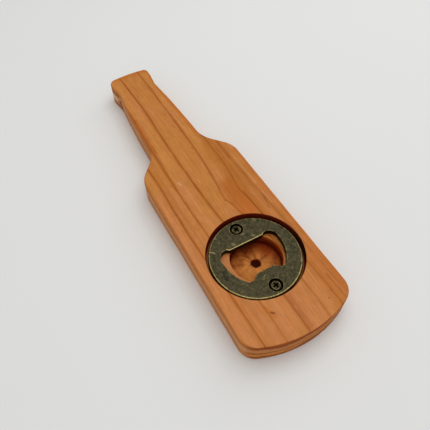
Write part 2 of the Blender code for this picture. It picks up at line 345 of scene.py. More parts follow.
def hole(shell, centre, count, profile):
    """Rings of (radius, z, rubbing and painted light) round a centre, joined into a sleeve. That value may
    depend on the angle.
    """
    angles = [2 * math.pi * k / count for k in range(count)]
    rings = []
    for radius, z, wear_and_shading in profile:
        values = [wear_and_shading(a) for a in angles] if callable(wear_and_shading) else wear_and_shading
        rings.append(shell.ring(circle(centre, radius, count), z, values))
    shell.sleeve(rings)
    return rings


def make_board(material):
    shell = Shell()
    outline = filled_in(board_outline(), LONGEST_SIDE)
    waver = [noise.noise(Vector((p.x, p.y, 0)) * WAVER_SCALE) for p in outline]
    outline = moved_in(outline, HAND_WAVER, waver)
    ease = [edge_ease(p) for p in outline]

    corner = quarter(EDGE_ROUND, 6)
    rings = []
    rings.append(shell.ring(moved_in(outline, EDGE_ROUND + FACE_MARGIN, ease), 0))
    for inset, drop in reversed(corner):
        rings.append(shell.ring(moved_in(outline, inset, ease), [drop * s for s in ease]))
    for inset, drop in corner:
        heights = [BOARD_TOP - drop * s for s in ease]
        rings.append(shell.ring(moved_in(outline, inset, ease), heights))
    rings.append(shell.ring(moved_in(outline, EDGE_ROUND + FACE_MARGIN, ease), BOARD_TOP))
    shell.sleeve(rings)
    shell.web(rings[0])

    # The recess's wall gets negative values: painted shade on it and in the gap round the plate.
    recess = hole(
        shell,
        PLATE_CENTRE,
        RECESS_SEGMENTS,
        [
            (RECESS_RADIUS + 0.35 * MM, BOARD_TOP, 0),
            (RECESS_RADIUS + 0.12 * MM, BOARD_TOP, 0),
            (RECESS_RADIUS + 0.04 * MM, BOARD_TOP - 0.04 * MM, -0.4),
            (RECESS_RADIUS, BOARD_TOP - 0.15 * MM, -0.9),
            (RECESS_RADIUS, BOARD_TOP - 1.2 * MM, -1),
            (RECESS_RADIUS, RECESS_FLOOR + 0.1 * MM, -1),
            (RECESS_RADIUS - 0.1 * MM, RECESS_FLOOR, -1),
            (RECESS_RADIUS - 0.6 * MM, RECESS_FLOOR, 0),
        ],
    )
    shell.web(rings[-1], recess[0])

    # The pocket's wall and the floor next to it are painted dark: painted shade.
    pocket_wall = [
        (POCKET_RADIUS + 0.3 * MM, RECESS_FLOOR, 0),
        (POCKET_RADIUS + 0.1 * MM, RECESS_FLOOR, 0),
        (POCKET_RADIUS, RECESS_FLOOR - 0.12 * MM, pocket_shade(0.3)),
        (POCKET_RADIUS, RECESS_FLOOR - 1.9 * MM, pocket_shade(0.55)),
        (POCKET_RADIUS, RECESS_FLOOR - 2.3 * MM, pocket_shade(1.0)),
        (POCKET_RADIUS, RECESS_FLOOR - 3.2 * MM, pocket_shade(0.7)),
        (POCKET_RADIUS, POCKET_FLOOR + 1.0 * MM, pocket_shade(0.95)),
        (POCKET_RADIUS, POCKET_FLOOR - 0.3 * MM, -1),
        (POCKET_RADIUS - 0.3 * MM, POCKET_FLOOR - 0.3 * MM, -1),
        (POCKET_RADIUS - 0.5 * MM, POCKET_FLOOR, pocket_shade(0.95)),
        (POCKET_RADIUS - 1.0 * MM, POCKET_FLOOR, pocket_shade(0.8)),
        (POCKET_RADIUS - 1.5 * MM, POCKET_FLOOR, pocket_shade(0.4)),
    ]
    floor_rings = []
    radius = POCKET_RADIUS - 1.9 * MM
    while radius > SPUR_RADIUS + 0.7 * MM:
        ridge = CUTTER_RIDGE * math.sin(radius / CUTTER_RIDGE_PITCH)
        # The floor is painted darker towards the wall: painted shade.
        toward_wall = max(0.0, radius / POCKET_RADIUS - 0.4)
        floor_rings.append((radius, POCKET_FLOOR + ridge, pocket_shade(toward_wall)))
        radius -= 0.4 * MM
    floor_rings.append((SPUR_RADIUS + 0.4 * MM, POCKET_FLOOR, -0.1))
    pocket = hole(shell, POCKET_CENTRE, POCKET_SEGMENTS, pocket_wall + floor_rings)
    spur = spur_rings(shell, POCKET_SEGMENTS)
    shell.sleeve([pocket[-1], *spur])
    shell.point(spur[-1], (*POCKET_CENTRE, POCKET_FLOOR - SPUR_DEPTH), -1)

    pilots = []
    for node in SCREW_TURNS:
        low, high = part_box(node)
        centre = (low + high) / 2
        # The pilot holes' floors are painted dark: painted shade.
        profile = [(PILOT_RADIUS, RECESS_FLOOR, 0), (PILOT_RADIUS, PILOT_FLOOR, -1)]
        pilot = hole(shell, centre, PILOT_SEGMENTS, profile)
        shell.point(pilot[-1], (centre.x, centre.y, PILOT_FLOOR))
        pilots.append(pilot[0])
    shell.web(recess[-1], pocket[0], *pilots)
    return shell.finish("board", [material], 40)


def pocket_shade(most):
    """Painted shade for the pocket: darkest towards its lip side and its right, paler elsewhere."""

    def wear_and_shading(angle):
        share = 0.5 + 0.5 * math.cos(angle - MOST_SHADED_TOWARD)
        return -most * (0.35 + 0.65 * share)

    return wear_and_shading


def edge_ease(point):
    """How round the board's edge is at a point of its outline: crisp at the base, softer along the neck."""
    share = min(1.0, (point.y - BASE_Y) / (LIP_Y - BASE_Y) / 0.35)
    varies = EDGE_ROUND_VARIES * noise.noise(Vector((point.x, point.y, 0.03)) * 60)
    return EDGE_ROUND_AT_BASE + (1 - EDGE_ROUND_AT_BASE) * share + varies


def spur_rings(shell, count):
    """The torn hole that the drill's centre spur leaves, a little wider along one diagonal."""
    rings = []
    # Its walls are painted dark: painted shade.
    profile = ((1.0, 0, -0.65), (0.9, 0.12, -1), (0.78, 0.5, -1), (0.5, 0.85, -1), (0.2, 0.97, -1))
    for share, depth, wear_and_shading in profile:
        points = []
        for k in range(count):
            angle = 2 * math.pi * k / count
            torn = 1 + TORN_BY * abs(math.cos(angle - TORN_TOWARD)) ** 6
            torn += TORN_BY * noise.noise(Vector((math.cos(angle), math.sin(angle), 0.3)) * 2.2)
            spread = SPUR_RADIUS * share * (1 + (torn - 1) * share)
            points.append(POCKET_CENTRE + Vector((math.cos(angle), math.sin(angle))) * spread)
        rings.append(shell.ring(points, POCKET_FLOOR - SPUR_DEPTH * depth, wear_and_shading))
    return rings


def make_plate(material):
    shell = Shell()
    rim = circle(PLATE_CENTRE, PLATE_RADIUS, PLATE_SEGMENTS)
    mouth = mouth_outline()
    outer = worn_edge_rings(shell, rim, 1, PLATE_RIM_ROUND, rim_wear_and_glint)
    inner = worn_edge_rings(shell, mouth, -1, MOUTH_EDGE_ROUND, mouth_wear_and_glint)
    tops, bottoms = [], []
    for node in SCREW_TURNS:
        low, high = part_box(node)
        wide, depth = COUNTERBORE
        cone = wide - PLATE_HOLE_RADIUS
        rings = hole(
            shell,
            (low + high) / 2,
            PLATE_HOLE_SEGMENTS,
            [
                (PLATE_HOLE_RADIUS + 0.1 * MM, PLATE_BOTTOM, 0),
                (PLATE_HOLE_RADIUS, PLATE_BOTTOM + 0.1 * MM, 0),
                # The counterbore's wall is black: patina with painted shade.
                (PLATE_HOLE_RADIUS, PLATE_TOP - depth - cone, -1),
                (wide - 0.1 * MM, PLATE_TOP - depth - 0.1 * MM, -1),
                (wide, PLATE_TOP - depth + 0.05 * MM, -1),
                (wide, PLATE_TOP - 0.14 * MM, -1),
                (wide + 0.05 * MM, PLATE_TOP - 0.04 * MM, -0.3),
                (wide + 0.16 * MM, PLATE_TOP, 0.35),
                (wide + 0.30 * MM, PLATE_TOP, 0.25),
                (wide + 0.60 * MM, PLATE_TOP, 0),
            ],
        )
        bottoms.append(rings[0])
        tops.append(rings[-1])
    shell.web(outer[-1], inner[-1], *tops)
    shell.web(outer[0], inner[0], *bottoms)
    return shell.finish("opener_plate_cast", [material], 50)


def rim_wear_and_glint(point):
    """The rim's edge shows rubbing all round, with a painted highlight that makes it brightest towards the
    base's left.
    """
    outward = (point - PLATE_CENTRE).normalized()
    toward_glint = outward.dot(Vector((-0.45, -0.9)))
    return 0.66 + 0.16 * toward_glint


def mouth_wear_and_glint(point):
    """Caps rub the straight lip bright, and it also carries a painted highlight. The rest of the mouth shows
    only a little rubbing.
    """
    place = point - PLATE_CENTRE
    on_lip = place.y > MOUTH_LIP[1] - 0.3 * MM and abs(place.x) < EAR_INNER[0]
    return 1.0 if on_lip else 0.4


def worn_edge_rings(shell, loop, way, edge_round, wear_and_shading):
    """The wall of the plate along a loop, rounded where it meets both faces. way is -1 along a hole."""
    rubbed_and_lit = [wear_and_shading(p) for p in loop]
    # The plate's walls are black: patina with painted shade.
    rings = [shell.ring(moved_in(loop, way * 2 * PLATE_UNDER_ROUND), PLATE_BOTTOM, -1)]
    for inset, drop in reversed(quarter(PLATE_UNDER_ROUND, 2)):
        rings.append(shell.ring(moved_in(loop, way * inset), PLATE_BOTTOM + drop, -1))
    corner = quarter(edge_round, 6)
    for k, (inset, drop) in enumerate(corner):
        share = k / (len(corner) - 1)
        values = [-1 + (w + 1) * min(1.0, 2 * share) for w in rubbed_and_lit]
        rings.append(shell.ring(moved_in(loop, way * inset), PLATE_TOP - drop, values))
    for beyond, share in ((0.08, 0.75), (0.3, 0.0)):
        values = [max(w, 0.0) * share for w in rubbed_and_lit]
        rings.append(shell.ring(moved_in(loop, way * (edge_round + beyond * MM)), PLATE_TOP, values))
    shell.sleeve(rings)
    return rings


def cross_angles():
    """Angles round the head, denser across the ends of the cross."""
    tip = math.atan2(CROSS_HALF_WIDTH, CROSS_HALF_LENGTH)
    shares = [-1, -0.5, 0, 0.5]
    quarter_turn = [tip * s for s in shares]
    side = [tip + (math.pi / 4 - tip) * k / 5 for k in range(6)]
    side += [math.pi / 2 - a for a in reversed(side[1:-1])]
    angles = []
    for k in range(4):
        angles += [k * math.pi / 2 + a for a in quarter_turn + side]
    return angles


def cross_reach(angle):
    """How far the cross recess reaches from the axis in a direction."""
    c, s = abs(math.cos(angle)), abs(math.sin(angle))
    c, s = max(c, s), min(c, s)
    if s * CROSS_HALF_LENGTH <= c * CROSS_HALF_WIDTH:
        return CROSS_HALF_LENGTH / c
    return CROSS_HALF_WIDTH / s


def head_wear(radius):
    """The head's rim is black, patina with painted shade, and its crown shows a little rubbing, most where
    it starts to dome.
    """
    if radius > HEAD_BRIGHT_RADIUS + 0.15 * MM:
        return -1.0
    if radius > HEAD_BRIGHT_RADIUS - 0.35 * MM:
        return 0.3
    return 0.05


def make_screw(name, node, material):
    """A raised countersunk wood screw: coarse thread, point, domed head and cross recess."""
    low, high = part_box(node)
    axis = (low + high) / 2
    head_radius = (high.x - low.x) / 2
    top, tip = high.z, low.z
    angles = [a + SCREW_TURNS[node] for a in cross_angles()]

    def around(radius, shape=None):
        reach = shape or (lambda a: 1.0)
        made = []
        for a in angles:
            r = radius * reach(a - SCREW_TURNS[node])
            made.append(Vector((axis.x + r * math.cos(a), axis.y + r * math.sin(a))))
        return made

    shell = Shell()
    dome_edge = top - DOME_HEIGHT
    cone_foot = dome_edge - HEAD_RIM - (head_radius - THREAD_RADIUS)
    thread_top = cone_foot - 0.8 * MM
    rings = []
    steps = math.ceil((thread_top - tip) / (THREAD_PITCH / THREAD_STEPS))
    for k in range(1, steps + 1):
        z = tip + (thread_top - tip) * k / steps
        taper = min(1.0, (z - tip) / POINT_LENGTH)
        fade = min(1.0, (thread_top - z) / THREAD_FADE)
        points = []
        for a in angles:
            turn = ((z - tip) / THREAD_PITCH - a / (2 * math.pi)) % 1.0
            crest = max(0.0, 1 - abs(turn - 0.5) / 0.28) ** 0.8
            r = SHANK_RADIUS + (THREAD_RADIUS - SHANK_RADIUS) * crest * fade
            points.append(Vector((axis.x + r * taper * math.cos(a), axis.y + r * taper * math.sin(a))))
        rings.append(shell.ring(points, z))
    neck = SHANK_RADIUS + 0.1 * MM
    rings.append(shell.ring(around(neck), thread_top + 0.1 * MM))
    rings.append(shell.ring(around(neck), cone_foot - 0.1 * MM))
    rings.append(shell.ring(around(THREAD_RADIUS), cone_foot))
    rings.append(shell.ring(around(head_radius - 0.02 * MM), dome_edge - HEAD_RIM - 0.02 * MM, -1))
    rings.append(shell.ring(around(head_radius), dome_edge - HEAD_RIM + 0.01 * MM, -1))
    rings.append(shell.ring(around(head_radius), dome_edge - 0.02 * MM, -0.9))

    def dome(radius):
        return top - DOME_HEIGHT * (radius / head_radius) ** 2

    for share in (0.97, 0.88, 0.8, 0.72, 0.64, 0.55, 0.4, 0.2, 0.06):
        points = []
        heights = []
        wear_and_shading = []
        for a in angles:
            inner = cross_reach(a - SCREW_TURNS[node]) + 0.05 * MM
            r = inner + (head_radius - inner) * share
            points.append(Vector((axis.x + r * math.cos(a), axis.y + r * math.sin(a))))
            heights.append(dome(r))
            wear_and_shading.append(head_wear(r))
        rings.append(shell.ring(points, heights, wear_and_shading))
    # The cross recess is black: patina with painted shade.
    recess = ((1.0, 0.03, 0.2), (0.93, 0.12, -1), (0.8, 0.45, -1), (0.45, 0.8, -1), (0.25, 1, -1))
    for scale, depth, wear_and_shading in recess:
        rings.append(shell.ring(around(scale, cross_reach), top - CROSS_DEPTH * depth, wear_and_shading))
    shell.sleeve(rings)
    shell.point(rings[0], (axis.x, axis.y, tip))
    shell.point(rings[-1], (axis.x, axis.y, top - CROSS_DEPTH), -1)
    return shell.finish(name, [material], 38)


class Nodes:
    """Short calls that build one material's node tree. A value is a number, a tuple or a socket."""

    def __init__(self, name):
        self.material = bpy.data.materials.new(name)
        self.material.use_nodes = True
        self.tree = self.material.node_tree
        self.shader = self.tree.nodes["Principled BSDF"]

    def feed(self, socket, value):
        if isinstance(value, bpy.types.NodeSocket):
            self.tree.links.new(value, socket)
        elif value is not None:
            if isinstance(value, tuple) and len(value) == 3 and socket.type == "RGBA":
                value = (*value, 1)
            socket.default_value = value

    def node(self, kind, **settings):
        made = self.tree.nodes.new(kind)
        for key, value in settings.items():
            setattr(made, key, value)
        return made

    def math(self, operation, a, b=None, clamp=False):
        made = self.node("ShaderNodeMath", operation=operation, use_clamp=clamp)
        for socket, value in zip(made.inputs, (a, b)):
            self.feed(socket, value)
        return made.outputs[0]

    def vector(self, operation, a, b=None):
        made = self.node("ShaderNodeVectorMath", operation=operation)
        self.feed(made.inputs[0], a)
        self.feed(made.inputs[1], b)
        return made.outputs["Value" if operation in ("LENGTH", "DISTANCE", "DOT_PRODUCT") else "Vector"]

    def mix(self, share, a, b, blend="MIX"):
        made = self.node("ShaderNodeMix", data_type="RGBA", blend_type=blend)
        self.feed(made.inputs["Factor"], share)
        self.feed(made.inputs[6], a)
        self.feed(made.inputs[7], b)
        return made.outputs[2]

    def noise(self, vector, scale, detail=2.0, rough=0.5, distortion=0.0):
        made = self.node("ShaderNodeTexNoise")
        self.feed(made.inputs["Vector"], vector)
        self.feed(made.inputs["Scale"], scale)
        self.feed(made.inputs["Detail"], detail)
        self.feed(made.inputs["Roughness"], rough)
        self.feed(made.inputs["Distortion"], distortion)
        return made.outputs["Fac"]

    def span(self, value, low, high, to_low=0.0, to_high=1.0, smooth=False):
        """Maps low..high to to_low..to_high and clamps it there."""
        made = self.node("ShaderNodeMapRange", interpolation_type="SMOOTHSTEP" if smooth else "LINEAR")
        names = ("Value", "From Min", "From Max", "To Min", "To Max")
        for key, v in zip(names, (value, low, high, to_low, to_high)):
            self.feed(made.inputs[key], v)
        return made.outputs[0]

    def ramp(self, value, stops, interpolation="LINEAR"):
        made = self.node("ShaderNodeValToRGB")
        made.color_ramp.interpolation = interpolation
        elements = made.color_ramp.elements
        while len(elements) < len(stops):
            elements.new(0.5)
        for element, (place, color) in zip(elements, stops):
            element.position = place
            element.color = (*color, 1)
        self.feed(made.inputs[0], value)
        return made.outputs[0]

    def curve(self, value, points):
        """A smooth curve through (value, result) points, all between 0 and 1."""
        made = self.node("ShaderNodeFloatCurve")
        line = made.mapping.curves[0]
        for place, result in points[1:-1]:
            line.points.new(place, result)
        for point, (place, result) in zip(line.points, sorted(points)):
            point.location = (place, result)
        made.mapping.update()
        self.feed(made.inputs["Value"], value)
        return made.outputs[0]

    def stretched(self, vector, x, y, z):
        return self.vector("MULTIPLY", vector, (x, y, z))

    def bump(self, height, strength, distance):
        made = self.node("ShaderNodeBump")
        self.feed(made.inputs["Height"], height)
        made.inputs["Strength"].default_value = strength
        made.inputs["Distance"].default_value = distance
        return made.outputs["Normal"]

    def millimetres(self):
        """The point on the surface, in millimetres in the frame."""
        place = self.node("ShaderNodeTexCoord").outputs["Object"]
        return self.vector("MULTIPLY", place, (1000, 1000, 1000))

    def parts(self, vector):
        made = self.node("ShaderNodeSeparateXYZ")
        self.feed(made.inputs[0], vector)
        return made.outputs[:3]

    def joined(self, *values):
        made = self.node("ShaderNodeCombineXYZ")
        for socket, value in zip(made.inputs, values):
            self.feed(socket, value)
        return made.outputs[0]

    def gray(self, value):
        return self.joined(value, value, value)

    def stroke(self, place, start, end, half_width):
        """1 along the stretch from start to end, falling softly to 0 at half_width from it."""
        way = Vector(end) - Vector(start)
        reach = self.vector("SUBTRACT", place, (*start, 0))
        along = self.vector("DOT_PRODUCT", reach, (*way, 0))
        share = self.math("MULTIPLY", along, 1 / way.length_squared, clamp=True)
        foot = self.vector("MULTIPLY", self.joined(share, share, 0.0), (*way, 0))
        distance = self.vector("DISTANCE", reach, foot)
        return self.span(distance, half_width, 0.3 * half_width, smooth=True)


# Growth lines on the board's face, left to right. Each runs through (height above the base, x), in mm.
GRAIN_LINES = [
    [(0, -28), (60, -28.5), (105, -28), (180, -27)],
    [(0, -18), (20, -18.3), (60, -20), (95, -19.8), (105, -20.1), (180, -20)],
    [(0, -10.2), (22, -10.5), (60, -13.3), (115, -13.3), (130, -12.7), (147, -12), (180, -12.5)],
    [(0, -0.3), (18, -0.6), (60, -3.7), (72, -4.6), (88, -4.8), (104, -5.1), (140, -4), (150, -4)]
    + [(180, -5.7)],
    [(0, 10.2), (20, 10), (60, 6), (66, 4.9), (70, 3.6), (80, 4.5), (90, 5.6), (104, 6.4)]
    + [(147, 6.8), (180, 6)],
    [(0, 17.5), (20, 17), (57, 13.9), (69, 12.9), (73, 12.2), (80, 13.2), (90, 14.1), (104, 14.2)]
    + [(180, 13)],
    [(0, 22.5), (60, 20), (76, 19.4), (90, 18.8), (104, 18.5), (180, 19)],
    [(0, 31), (60, 27), (104, 26), (180, 26)],
]
# The lines' x stays between minus and plus this.
GRAIN_SPAN = 40.0
# For each line: how dark it is, and how dark the soft bands on its left and on its right are.
LINE_DARKNESS = [
    (0.6, 0.2, 0.2),
    (0.95, 0.5, 0.0),
    (0.75, 0.0, 0.2),
    (0.95, 0.2, 0.15),
    (0.8, 0.05, 0.25),
    (1.0, 0.75, 0.2),
    (0.45, 0.4, 0.35),
    (0.6, 0.2, 0.2),
]

# Colours of the wood, linear.
GOLDEN = (0.555, 0.222, 0.052)
ROSY = (0.590, 0.224, 0.074)
LINE_BROWN = (0.300, 0.070, 0.008)
BAND_BROWN = (0.430, 0.140, 0.021)
PALE = (0.66, 0.34, 0.16)
PEACH = (0.680, 0.290, 0.100)
FOXY = (0.500, 0.145, 0.020)
PIT_AND_SHADE_BROWN = (0.25, 0.065, 0.014)
ORANGE = (0.480, 0.128, 0.016)
RUST = (0.430, 0.105, 0.013)
UMBER = (0.400, 0.110, 0.014)
DULL_ROSE = (0.47, 0.145, 0.040)
CREAM = (0.76, 0.50, 0.29)
# The next two colours are painted shade, in the holes and on the recess's wall.
HOLE_SHADE_RED = (0.135, 0.0080, 0.0006)
DEEP_SHADE_BLACK = (0.035, 0.006, 0.002)
CUT_GOLD = (0.610, 0.215, 0.040)
CUT_RED = (0.450, 0.100, 0.009)
# Painted shadow under the plate's lip, on the pocket's floor.
LIP_SHADOW_MAROON = (0.300, 0.050, 0.004)

# Soft marks on the board's face, in mm: from (x, height) to (x, height), half width, colour, strength.
FACE_MARKS = [
    ((9.6, 60), (9.0, 77), 6.0, ORANGE, 0.8),
    ((6.6, 66), (6.2, 73), 3.0, BAND_BROWN, 0.35),
    ((3.2, 69.7), (3.4, 69.3), 0.9, PIT_AND_SHADE_BROWN, 0.45),
    ((20.3, 94), (20.9, 72), 0.9, PALE, 0.28),
    ((21.0, 66), (21.4, 58), 0.8, PALE, 0.2),
    ((14.5, 104), (14.0, 74), 8.5, BAND_BROWN, 0.45),
    ((18.4, 105), (18.6, 92), 1.2, LINE_BROWN, 0.35),
    ((18.9, 85), (19.3, 76), 0.8, BAND_BROWN, 0.6),
    ((18.6, 56), (19.7, 63), 0.6, PIT_AND_SHADE_BROWN, 0.45),
    ((-12.7, 112), (-11.9, 140), 2.0, RUST, 0.68),
    ((-12.8, 110), (-13.6, 86), 1.5, UMBER, 0.5),
    ((-9.8, 16.0), (-8.6, 12.0), 1.8, FOXY, 0.5),
    ((-8.9, 13.9), (-8.0, 12.9), 0.6, PIT_AND_SHADE_BROWN, 0.85),
    ((14.0, 7.8), (14.2, 7.6), 0.6, PIT_AND_SHADE_BROWN, 0.5),
    ((17.0, 10.3), (17.2, 10.0), 0.6, PIT_AND_SHADE_BROWN, 0.45),
    ((0.5, 11.4), (0.7, 10.4), 0.9, PALE, 0.45),
    ((-10.9, 89.2), (-10.3, 87.2), 0.8, PALE, 0.75),
    ((-2.1, 86.5), (-1.8, 85.0), 0.6, PALE, 0.35),
    ((5.2, 107.0), (5.4, 106.6), 0.8, PIT_AND_SHADE_BROWN, 0.4),
    ((4.2, 126.0), (4.4, 125.0), 0.9, BAND_BROWN, 0.6),
    ((4.3, 137.0), (4.5, 135.5), 1.0, BAND_BROWN, 0.5),
    ((-7.4, 125.0), (-7.0, 124.5), 0.7, FOXY, 0.6),
    ((1.0, 2), (1.0, 16), 1.7, DULL_ROSE, 0.7),
    ((19.5, 2), (19.5, 26), 6.0, FOXY, 0.35),
    ((20.4, 4), (19.8, 17), 0.6, LINE_BROWN, 0.4),
    # The next four marks darken the rounded right edge and the lip's end: painted shade.
    ((-9.5, 178.6), (10.0, 179.6), 4.0, FOXY, 0.6),
    ((23.7, 6), (24.0, 96), 1.5, FOXY, 0.7),
    ((12.6, 116), (10.8, 160), 1.8, FOXY, 0.75),
    ((11.0, 164), (11.4, 178), 1.6, FOXY, 0.7),
]

# Bands down the board's walls: (share of its thickness below the face, colour). The end walls' darker end
# grain also paints the shade on the end faces.
END_GRAIN_AND_SHADE_BANDS = [
    (0.00, (0.340, 0.080, 0.010)),
    (0.07, (0.240, 0.050, 0.008)),
    (0.16, (0.360, 0.095, 0.018)),
    (0.25, (0.520, 0.200, 0.065)),
    (0.38, (0.520, 0.190, 0.055)),
    (0.44, (0.225, 0.050, 0.007)),
    (0.51, (0.580, 0.210, 0.045)),
    (0.68, (0.540, 0.185, 0.036)),
    (0.74, (0.170, 0.034, 0.005)),
    (0.81, (0.430, 0.125, 0.020)),
    (1.00, (0.300, 0.075, 0.009)),
]
# The side walls' paler side grain is partly a painted sheen.
SIDE_GRAIN_AND_SHEEN_BANDS = [
    (0.00, (0.530, 0.172, 0.032)),
    (0.12, (0.450, 0.138, 0.025)),
    (0.20, (0.570, 0.265, 0.105)),
    (0.44, (0.590, 0.280, 0.115)),
    (0.50, (0.430, 0.138, 0.030)),
    (0.57, (0.590, 0.225, 0.065)),
    (0.84, (0.560, 0.195, 0.045)),
    (0.92, (0.380, 0.100, 0.016)),
    (1.00, (0.340, 0.088, 0.012)),
]

# Marks on the left wall near the lip: from (height, z) to (height, z), otherwise like the face's.
LIP_WALL_MARKS = [
    ((168.0, 9.2), (178.0, 9.6), 1.3, FOXY, 0.9),
    ((167.0, 9.0), (176.0, 9.3), 1.1, PIT_AND_SHADE_BROWN, 0.85),
    ((167.0, 2.0), (178.0, 2.2), 1.5, LINE_BROWN, 0.75),
    ((170.5, 5.4), (176.5, 5.8), 2.2, CREAM, 0.85),
    # Painted shadow in the hollow of the waist.
    ((163.6, 1.5), (165.4, 6.0), 2.3, PIT_AND_SHADE_BROWN, 0.95),
]


def grain_count(n, x, height):
    """Counts growth lines from left to right on the face: a whole number is on a line."""
    length = (LIP_Y - BASE_Y) / MM
    share = n.math("DIVIDE", height, length)
    lines = []
    for line in GRAIN_LINES:
        points = [(h / length, 0.5 + at / (2 * GRAIN_SPAN)) for h, at in line]
        lines.append(n.span(n.curve(share, points), 0, 1, -GRAIN_SPAN, GRAIN_SPAN))
    count = None
    for left, right in zip(lines, lines[1:]):
        step = n.span(x, left, right)
        count = step if count is None else n.math("ADD", count, step)
    return count


def face_color(n, place, x, height, z):
    """The wood seen on the faces, and how much of each growth line's own brown goes over it."""
    wobble = n.noise(n.stretched(place, 0.05, 0.02, 0.05), 1.0, 2.0)
    shake = n.noise(n.stretched(place, 0.6, 0.08, 0.6), 1.0, 2.0)
    shift = n.math("ADD", n.span(wobble, 0.2, 0.8, -0.35, 0.35), n.span(shake, 0.2, 0.8, -0.16, 0.16))
    below = n.math("SUBTRACT", BOARD_TOP / MM, z)
    across = n.math("ADD", n.math("ADD", x, shift), n.math("MULTIPLY", below, 0.6))
    count = grain_count(n, across, height)
    nearest = n.math("FLOOR", n.math("ADD", count, 0.5))
    stops = [(k / len(LINE_DARKNESS), row) for k, row in enumerate(LINE_DARKNESS)]
    pick = n.math("DIVIDE", n.math("ADD", nearest, 0.5), len(LINE_DARKNESS))
    core, left, right = n.parts(n.ramp(pick, stops, "CONSTANT"))
    beyond = n.math("SUBTRACT", count, nearest)
    distance = n.math("ABSOLUTE", beyond)

    cloud = n.noise(n.stretched(place, 0.09, 0.03, 0.09), 1.0, 2.0)
    cloud = n.math("ADD", cloud, n.span(height, 45, 105, 0.12, -0.12))
    color = n.mix(n.span(cloud, 0.35, 0.65, smooth=True), GOLDEN, ROSY)
    left_band = n.math("MULTIPLY", n.span(beyond, -0.38, -0.02), left)
    right_band = n.math("MULTIPLY", n.span(beyond, 0.34, 0.02), right)
    fade = n.span(height, 10, 48, 0.6, 1.0)
    bands = n.math("MULTIPLY", n.math("ADD", left_band, right_band), fade)
    color = n.mix(bands, color, BAND_BROWN)
    reddish = n.noise(n.stretched(place, 0.9, 0.05, 0.9), 1.0, 4.0, 0.65)
    color = n.mix(n.span(reddish, 0.48, 0.74, 0, 0.55, smooth=True), color, FOXY)
    color = n.mix(n.span(reddish, 0.47, 0.26, 0, 0.3, smooth=True), color, PEACH)
    uneven = n.noise(n.stretched(place, 0.5, 0.09, 0.5), 1.0, 2.0)
    patchy = n.noise(n.stretched(place, 0.12, 0.035, 0.12), 1.0, 3.0, 0.6)
    halo = n.span(distance, n.span(patchy, 0.3, 0.7, 0.10, 0.20), 0.0)
    core = n.math("MULTIPLY", core, fade)
    color = n.mix(n.math("MULTIPLY", n.math("MULTIPLY", halo, core), 0.5), color, BAND_BROWN)
    line = n.span(distance, n.span(uneven, 0.3, 0.7, 0.06, 0.12), 0.0, smooth=True)
    line = n.math("MULTIPLY", line, n.math("MULTIPLY", core, n.span(patchy, 0.3, 0.62, 0.5, 1.0)))
    return color, line


def marked(n, color, flat, marks, where):
    """The colour with soft marks on it. flat is (x, height, 0) and where is 1 where marks may show."""
    for start, end, half_width, tint, strength in marks:
        mask = n.stroke(flat, start, end, half_width)
        color = n.mix(n.math("MULTIPLY", mask, n.math("MULTIPLY", where, strength)), color, tint)
    return color


def hole_directions(n, place):
    """From the pocket's centre to the point: the way there, its length and its direction."""
    spoke = n.vector("SUBTRACT", place, tuple(POCKET_CENTRE / MM) + (0.0,))
    spoke = n.vector("MULTIPLY", spoke, (1, 1, 0))
    return spoke, n.vector("LENGTH", spoke), n.vector("NORMALIZE", spoke)


def pocket_color(n, color, spoke, swirl, in_pocket):
    """The pocket's floor: freshly cut wood, with painted shadow under the plate's lip and on the right."""
    color = n.mix(n.math("MULTIPLY", in_pocket, 0.75), color, CUT_GOLD)
    reach = n.math("ADD", n.parts(spoke)[1], n.span(swirl, 0.3, 0.7, -2.5, 3.0))
    reach = n.math("ADD", reach, n.span(n.parts(spoke)[0], 2.5, 7.5, 0, 7.0))
    lip_shadow = n.span(reach, 0.5, 8.5, 0, 0.95)
    return n.mix(n.math("MULTIPLY", in_pocket, lip_shadow), color, LIP_SHADOW_MAROON)


def wall_color(n, place, x, z, normal_x, radius, end_grain_and_shade):
    """The walls: bands of growth rings nearly parallel to the face, darker across the end grain, which also
    paints the shade on the end faces.
    """
    thickness = BOARD_TOP / MM
    bend = n.noise(n.stretched(place, 0.07, 0.02, 0.07), 1.0, 2.0)
    tremble = n.noise(n.stretched(place, 0.13, 0.07, 0.4), 1.0, 2.0)
    sunk = n.math("DIVIDE", n.math("SUBTRACT", thickness, z), thickness)
    sunk = n.math("ADD", sunk, n.span(bend, 0.25, 0.75, -0.13, 0.13))
    sunk = n.math("ADD", sunk, n.span(tremble, 0.25, 0.75, -0.05, 0.05))
    sunk = n.math("ADD", sunk, n.math("MULTIPLY", x, 0.006))
    color = n.mix(end_grain_and_shade, n.ramp(sunk, SIDE_GRAIN_AND_SHEEN_BANDS), n.ramp(sunk, END_GRAIN_AND_SHADE_BANDS))
    # Walls facing +x are painted darker and redder: painted shade.
    color = n.mix(n.span(normal_x, 0.1, 0.6, 0, 0.65), color, FOXY)
    return n.mix(n.span(radius, 12.0, 11.8), color, CUT_RED)


def painted_deep_shade(n, color, place, z, radius, shaded_recess_wall):
    """Painted shade: black inside the spur hole, but not on the underside below it, and on the recess's
    shaded wall.
    """
    floor_z = POCKET_FLOOR / MM
    tip_z = floor_z - SPUR_DEPTH / MM
    in_spur = n.math("MULTIPLY", n.span(radius, 3.0, 2.6), n.span(z, floor_z - 0.4, floor_z - 1.3))
    in_spur = n.math("MULTIPLY", in_spur, n.span(z, tip_z - 0.6, tip_z - 0.2))
    color = n.mix(in_spur, color, DEEP_SHADE_BLACK)
    from_plate = n.vector("SUBTRACT", place, tuple(PLATE_CENTRE / MM) + (0.0,))
    from_plate = n.vector("LENGTH", n.vector("MULTIPLY", from_plate, (1, 1, 0)))
    at_wall = n.math("MULTIPLY", n.span(from_plate, 20.8, 21.0), n.span(from_plate, 21.2, 21.1))
    return n.mix(n.math("MULTIPLY", at_wall, shaded_recess_wall), color, DEEP_SHADE_BLACK)


